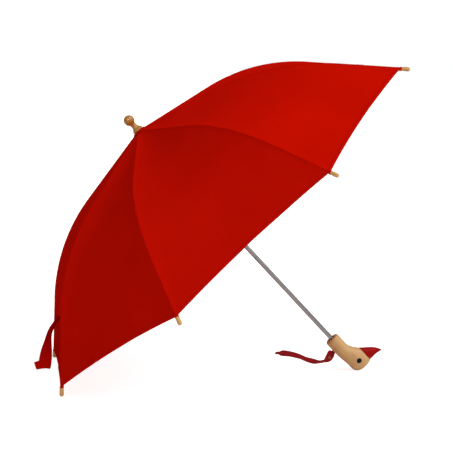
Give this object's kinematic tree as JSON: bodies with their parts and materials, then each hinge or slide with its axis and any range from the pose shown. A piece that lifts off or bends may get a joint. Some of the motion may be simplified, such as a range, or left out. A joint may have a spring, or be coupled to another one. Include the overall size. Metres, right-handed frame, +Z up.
{
  "type": "stick umbrella",
  "caption": "Open stick umbrella with a curved cloth canopy, a sliding runner, folding ribs, wooden tips and finial, and a carved duck-head handle.",
  "frame": {"origin": "the point of the floor under the crown of the handle's head, which touches it", "axes": "+Z up from the floor, +X from the canopy to the handle, +Y completes the right-handed frame and is square to the plane of the shaft"},
  "size_m": [0.6918, 0.909, 0.6311],
  "materials": {
    "canopy_cloth": "plain-woven pongee, red, slight sheen",
    "ribbon": "red woven ribbon",
    "steel": "bright nickel plate on steel",
    "dark_steel": "dark spring steel",
    "black_plastic": "moulded black nylon",
    "beech": "clear-varnished beech",
    "amber_wood": "amber-stained turned wood, glossy varnish",
    "red_paint": "red enamel on wood",
    "black_eye": "glossy black",
    "eyelet": "dull bronze"
  },
  "bodies": {
    "shaft": {"shaft_tube": "steel", "finial": "amber_wood", "finial_stud": "dark_steel", "crown_cap": "canopy_cloth", "top_notch": "black_plastic", "notch_wire": "steel", "runner_stop": "steel", "neck_collar": "black_plastic", "handle_pin": "steel", "handle": "beech", "beak": "red_paint", "eyes": "black_eye", "strap_eyelet": "eyelet", "wrist_strap": "ribbon"},
    "runner": {"runner": "black_plastic", "runner_wire": "steel"},
    "top_catch": {"top_catch": "dark_steel"},
    "low_catch": {"low_catch": "dark_steel"},
    "inner_rib_1": {"inner_rib_1": "steel", "canopy_gore_1": "canopy_cloth"},
    "inner_rib_2": {"inner_rib_2": "steel", "canopy_gore_2": "canopy_cloth"},
    "inner_rib_3": {"inner_rib_3": "steel", "canopy_gore_3": "canopy_cloth"},
    "inner_rib_4": {"inner_rib_4": "steel", "canopy_gore_4": "canopy_cloth"},
    "inner_rib_5": {"inner_rib_5": "steel", "canopy_gore_5": "canopy_cloth"},
    "inner_rib_6": {"inner_rib_6": "steel", "canopy_gore_6": "canopy_cloth"},
    "inner_rib_7": {"inner_rib_7": "steel", "canopy_gore_7": "canopy_cloth"},
    "inner_rib_8": {"inner_rib_8": "steel", "canopy_gore_8": "canopy_cloth"},
    "outer_rib_1": {"outer_rib_1": "steel", "rib_tip_1": "beech"},
    "outer_rib_2": {"outer_rib_2": "steel", "rib_tip_2": "beech"},
    "outer_rib_3": {"outer_rib_3": "steel", "rib_tip_3": "beech"},
    "outer_rib_4": {"outer_rib_4": "steel", "rib_tip_4": "beech", "tie_strap": "canopy_cloth", "tie_snap": "steel"},
    "outer_rib_5": {"outer_rib_5": "steel", "rib_tip_5": "beech"},
    "outer_rib_6": {"outer_rib_6": "steel", "rib_tip_6": "beech"},
    "outer_rib_7": {"outer_rib_7": "steel", "rib_tip_7": "beech"},
    "outer_rib_8": {"outer_rib_8": "steel", "rib_tip_8": "beech"},
    "stretcher_1": {"stretcher_1": "steel"},
    "stretcher_2": {"stretcher_2": "steel"},
    "stretcher_3": {"stretcher_3": "steel"},
    "stretcher_4": {"stretcher_4": "steel"},
    "stretcher_5": {"stretcher_5": "steel"},
    "stretcher_6": {"stretcher_6": "steel"},
    "stretcher_7": {"stretcher_7": "steel"},
    "stretcher_8": {"stretcher_8": "steel"}
  },
  "joints": [
    {"name": "runner_slide", "type": "slide", "parent": "shaft", "child": "runner", "axis": [0.685, 0, -0.7286], "range_m": [0, 0.37747], "deforming": ["canopy_gore_1", "canopy_gore_2", "canopy_gore_3", "canopy_gore_4", "canopy_gore_5", "canopy_gore_6", "canopy_gore_7", "canopy_gore_8", "tie_strap", "tie_snap", "top_catch", "low_catch"]},
    {"name": "top_catch_press", "type": "slide", "parent": "shaft", "child": "top_catch", "axis": [0, -1, 0], "range_m": [0, 0.0026], "stiffness_N_per_m": 300},
    {"name": "low_catch_press", "type": "slide", "parent": "shaft", "child": "low_catch", "axis": [0, -1, 0], "range_m": [0, 0.0026], "stiffness_N_per_m": 300},
    {"name": "rib_1_hinge", "type": "hinge", "parent": "shaft", "child": "inner_rib_1", "pos_m": [-0.44654, -0.00306, 0.49319], "axis": [0.2788, 0.9239, 0.2621], "range_deg": [0, 74.68]},
    {"name": "rib_1_flex", "type": "hinge", "parent": "inner_rib_1", "child": "outer_rib_1", "pos_m": [-0.22489, -0.10353, 0.61153], "axis": [-0.2788, -0.9239, -0.2621], "range_deg": [0, 24.77]},
    {"name": "stretcher_1_hinge", "type": "hinge", "parent": "inner_rib_1", "child": "stretcher_1", "pos_m": [-0.2376, -0.09676, 0.6012], "axis": [-0.2788, -0.9239, -0.2621], "range_deg": [0, 149.33]},
    {"name": "rib_2_hinge", "type": "hinge", "parent": "shaft", "child": "inner_rib_2", "pos_m": [-0.44969, -0.00739, 0.49022], "axis": [0.6731, 0.3827, 0.6328], "range_deg": [0, 74.68]},
    {"name": "rib_2_flex", "type": "hinge", "parent": "inner_rib_2", "child": "outer_rib_2", "pos_m": [-0.33156, -0.24993, 0.51124], "axis": [-0.6731, -0.3827, -0.6328], "range_deg": [0, 24.77]},
    {"name": "stretcher_2_hinge", "type": "hinge", "parent": "inner_rib_2", "child": "stretcher_2", "pos_m": [-0.3373, -0.23359, 0.50747], "axis": [-0.6731, -0.3827, -0.6328], "range_deg": [0, 149.33]},
    {"name": "rib_3_hinge", "type": "hinge", "parent": "shaft", "child": "inner_rib_3", "pos_m": [-0.45415, -0.00739, 0.48603], "axis": [0.6731, -0.3827, 0.6328], "range_deg": [0, 74.68]},
    {"name": "rib_3_flex", "type": "hinge", "parent": "inner_rib_3", "child": "outer_rib_3", "pos_m": [-0.48241, -0.24993, 0.36942], "axis": [-0.6731, 0.3827, -0.6328], "range_deg": [0, 24.77]},
    {"name": "stretcher_3_hinge", "type": "hinge", "parent": "inner_rib_3", "child": "stretcher_3", "pos_m": [-0.47829, -0.23359, 0.37492], "axis": [-0.6731, 0.3827, -0.6328], "range_deg": [0, 149.33]},
    {"name": "rib_4_hinge", "type": "hinge", "parent": "shaft", "child": "inner_rib_4", "pos_m": [-0.45731, -0.00306, 0.48307], "axis": [0.2788, -0.9239, 0.2621], "range_deg": [0, 74.68]},
    {"name": "rib_4_flex", "type": "hinge", "parent": "inner_rib_4", "child": "outer_rib_4", "pos_m": [-0.58908, -0.10353, 0.26914], "axis": [-0.2788, 0.9239, -0.2621], "range_deg": [0, 24.77]},
    {"name": "stretcher_4_hinge", "type": "hinge", "parent": "inner_rib_4", "child": "stretcher_4", "pos_m": [-0.57798, -0.09676, 0.28119], "axis": [-0.2788, 0.9239, -0.2621], "range_deg": [0, 149.33]},
    {"name": "rib_5_hinge", "type": "hinge", "parent": "shaft", "child": "inner_rib_5", "pos_m": [-0.45731, 0.00306, 0.48307], "axis": [-0.2788, -0.9239, -0.2621], "range_deg": [0, 74.68]},
    {"name": "rib_5_flex", "type": "hinge", "parent": "inner_rib_5", "child": "outer_rib_5", "pos_m": [-0.58908, 0.10353, 0.26914], "axis": [0.2788, 0.9239, 0.2621], "range_deg": [0, 24.77]},
    {"name": "stretcher_5_hinge", "type": "hinge", "parent": "inner_rib_5", "child": "stretcher_5", "pos_m": [-0.57798, 0.09676, 0.28119], "axis": [0.2788, 0.9239, 0.2621], "range_deg": [0, 149.33]},
    {"name": "rib_6_hinge", "type": "hinge", "parent": "shaft", "child": "inner_rib_6", "pos_m": [-0.45415, 0.00739, 0.48603], "axis": [-0.6731, -0.3827, -0.6328], "range_deg": [0, 74.68]},
    {"name": "rib_6_flex", "type": "hinge", "parent": "inner_rib_6", "child": "outer_rib_6", "pos_m": [-0.48241, 0.24993, 0.36942], "axis": [0.6731, 0.3827, 0.6328], "range_deg": [0, 24.77]},
    {"name": "stretcher_6_hinge", "type": "hinge", "parent": "inner_rib_6", "child": "stretcher_6", "pos_m": [-0.47829, 0.23359, 0.37492], "axis": [0.6731, 0.3827, 0.6328], "range_deg": [0, 149.33]},
    {"name": "rib_7_hinge", "type": "hinge", "parent": "shaft", "child": "inner_rib_7", "pos_m": [-0.44969, 0.00739, 0.49022], "axis": [-0.6731, 0.3827, -0.6328], "range_deg": [0, 74.68]},
    {"name": "rib_7_flex", "type": "hinge", "parent": "inner_rib_7", "child": "outer_rib_7", "pos_m": [-0.33156, 0.24993, 0.51124], "axis": [0.6731, -0.3827, 0.6328], "range_deg": [0, 24.77]},
    {"name": "stretcher_7_hinge", "type": "hinge", "parent": "inner_rib_7", "child": "stretcher_7", "pos_m": [-0.3373, 0.23359, 0.50747], "axis": [0.6731, -0.3827, 0.6328], "range_deg": [0, 149.33]},
    {"name": "rib_8_hinge", "type": "hinge", "parent": "shaft", "child": "inner_rib_8", "pos_m": [-0.44654, 0.00306, 0.49319], "axis": [-0.2788, 0.9239, -0.2621], "range_deg": [0, 74.68]},
    {"name": "rib_8_flex", "type": "hinge", "parent": "inner_rib_8", "child": "outer_rib_8", "pos_m": [-0.22489, 0.10353, 0.61153], "axis": [0.2788, -0.9239, 0.2621], "range_deg": [0, 24.77]},
    {"name": "stretcher_8_hinge", "type": "hinge", "parent": "inner_rib_8", "child": "stretcher_8", "pos_m": [-0.2376, 0.09676, 0.6012], "axis": [0.2788, -0.9239, 0.2621], "range_deg": [0, 149.33]}
  ],
  "couplings": [
    {"joint": "rib_1_hinge", "follows": "runner_slide", "rad_per_m": 3.452},
    {"joint": "rib_1_flex", "follows": "runner_slide", "rad_per_m": 1.1443},
    {"joint": "stretcher_1_hinge", "follows": "runner_slide", "rad_per_m": 6.9039},
    {"joint": "rib_2_hinge", "follows": "runner_slide", "rad_per_m": 3.452},
    {"joint": "rib_2_flex", "follows": "runner_slide", "rad_per_m": 1.1443},
    {"joint": "stretcher_2_hinge", "follows": "runner_slide", "rad_per_m": 6.9039},
    {"joint": "rib_3_hinge", "follows": "runner_slide", "rad_per_m": 3.452},
    {"joint": "rib_3_flex", "follows": "runner_slide", "rad_per_m": 1.1443},
    {"joint": "stretcher_3_hinge", "follows": "runner_slide", "rad_per_m": 6.9039},
    {"joint": "rib_4_hinge", "follows": "runner_slide", "rad_per_m": 3.452},
    {"joint": "rib_4_flex", "follows": "runner_slide", "rad_per_m": 1.1443},
    {"joint": "stretcher_4_hinge", "follows": "runner_slide", "rad_per_m": 6.9039},
    {"joint": "rib_5_hinge", "follows": "runner_slide", "rad_per_m": 3.452},
    {"joint": "rib_5_flex", "follows": "runner_slide", "rad_per_m": 1.1443},
    {"joint": "stretcher_5_hinge", "follows": "runner_slide", "rad_per_m": 6.9039},
    {"joint": "rib_6_hinge", "follows": "runner_slide", "rad_per_m": 3.452},
    {"joint": "rib_6_flex", "follows": "runner_slide", "rad_per_m": 1.1443},
    {"joint": "stretcher_6_hinge", "follows": "runner_slide", "rad_per_m": 6.9039},
    {"joint": "rib_7_hinge", "follows": "runner_slide", "rad_per_m": 3.452},
    {"joint": "rib_7_flex", "follows": "runner_slide", "rad_per_m": 1.1443},
    {"joint": "stretcher_7_hinge", "follows": "runner_slide", "rad_per_m": 6.9039},
    {"joint": "rib_8_hinge", "follows": "runner_slide", "rad_per_m": 3.452},
    {"joint": "rib_8_flex", "follows": "runner_slide", "rad_per_m": 1.1443},
    {"joint": "stretcher_8_hinge", "follows": "runner_slide", "rad_per_m": 6.9039}
  ]
}
